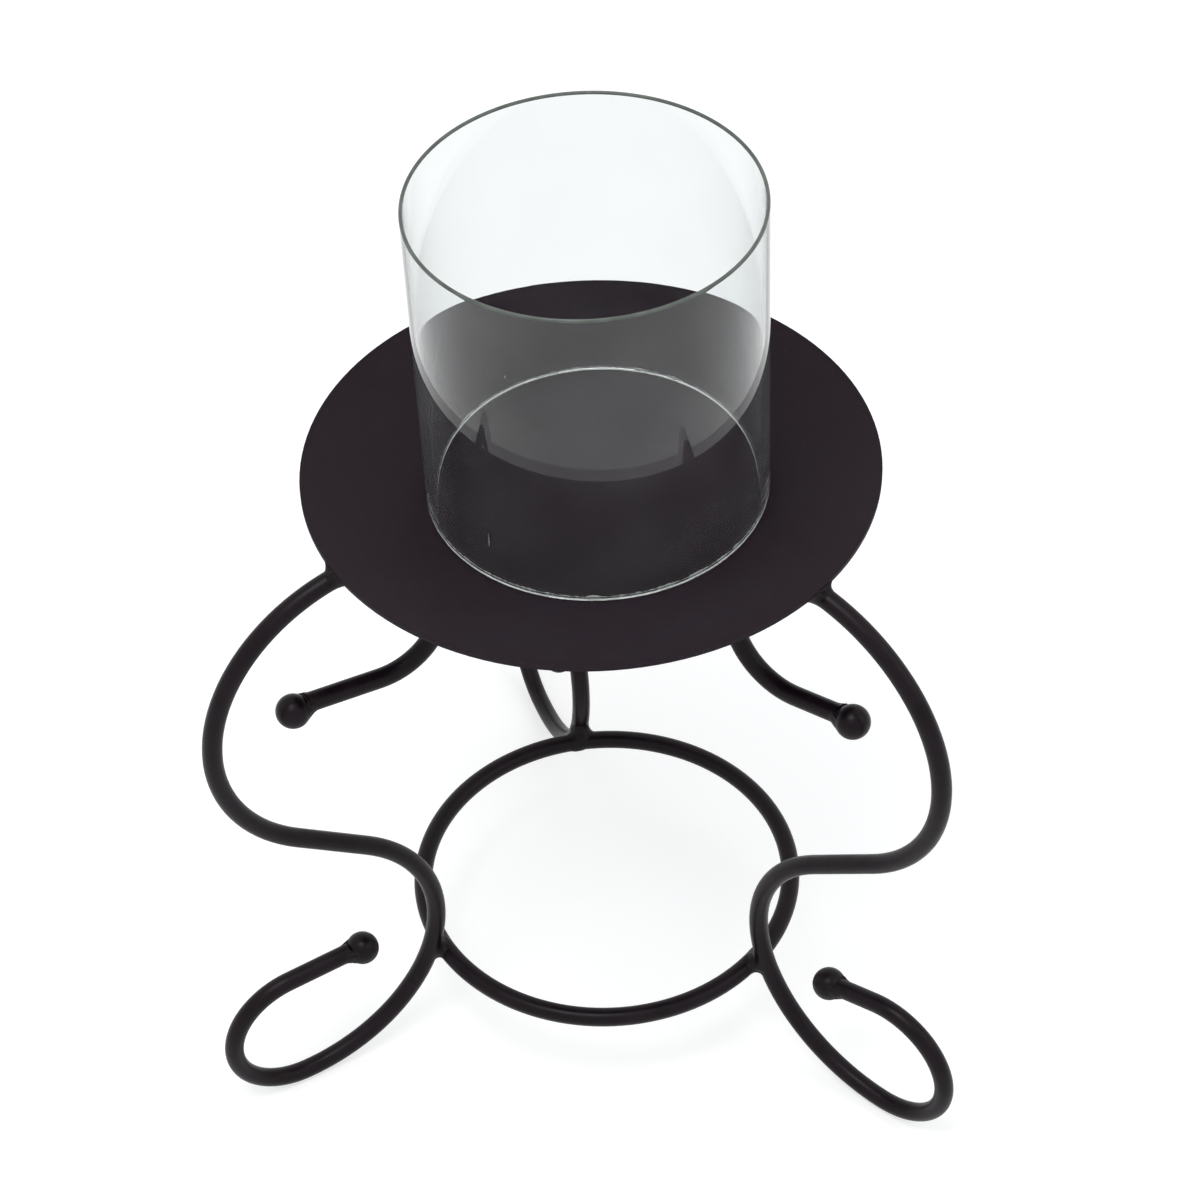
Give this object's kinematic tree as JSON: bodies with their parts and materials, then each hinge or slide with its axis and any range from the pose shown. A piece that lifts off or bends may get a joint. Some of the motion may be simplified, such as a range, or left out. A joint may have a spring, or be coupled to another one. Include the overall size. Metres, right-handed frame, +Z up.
{
  "type": "pillar candle stand",
  "caption": "Low tabletop candle stand: a dished round plate on S-scroll legs of bent round bar with ball ends and a base ring, holding an open glass tube round a pillar candle.",
  "frame": {"origin": "on the plate's axis at floor level, where the three toe bends rest", "axes": "+Z up along the plate's axis; +X to the right and +Y away from the side with two legs"},
  "size_m": [0.2291, 0.2282, 0.3089],
  "materials": {
    "clear_glass": "clear glass with a slight green tint and a fire-rounded dark rim",
    "plate_paint": "satin black paint with a faint purple-brown cast on sheet steel",
    "bar_paint": "semi-gloss black paint on round steel bar",
    "weld_paint": "semi-gloss black paint over rippled weld metal"
  },
  "bodies": {
    "stand": {"plate": "plate_paint", "base_ring": "bar_paint", "leg_left": "bar_paint", "leg_right": "bar_paint", "leg_rear": "bar_paint", "top_ball_left": "bar_paint", "top_ball_right": "bar_paint", "top_ball_rear": "bar_paint", "foot_ball_left": "bar_paint", "foot_ball_right": "bar_paint", "foot_ball_rear": "bar_paint", "plate_weld_left": "weld_paint", "plate_weld_right": "weld_paint", "plate_weld_rear": "weld_paint", "ring_weld_left": "weld_paint", "ring_weld_right": "weld_paint", "ring_weld_rear": "weld_paint", "top_ball_weld_left": "weld_paint", "top_ball_weld_right": "weld_paint", "top_ball_weld_rear": "weld_paint", "foot_ball_weld_left": "weld_paint", "foot_ball_weld_right": "weld_paint", "foot_ball_weld_rear": "weld_paint"},
    "glass": {"glass_tube": "clear_glass"}
  },
  "joints": [
    {"name": "glass_lift", "type": "slide", "parent": "stand", "child": "glass", "axis": [0, 0, 1], "range_m": [0, 0.13]}
  ]
}
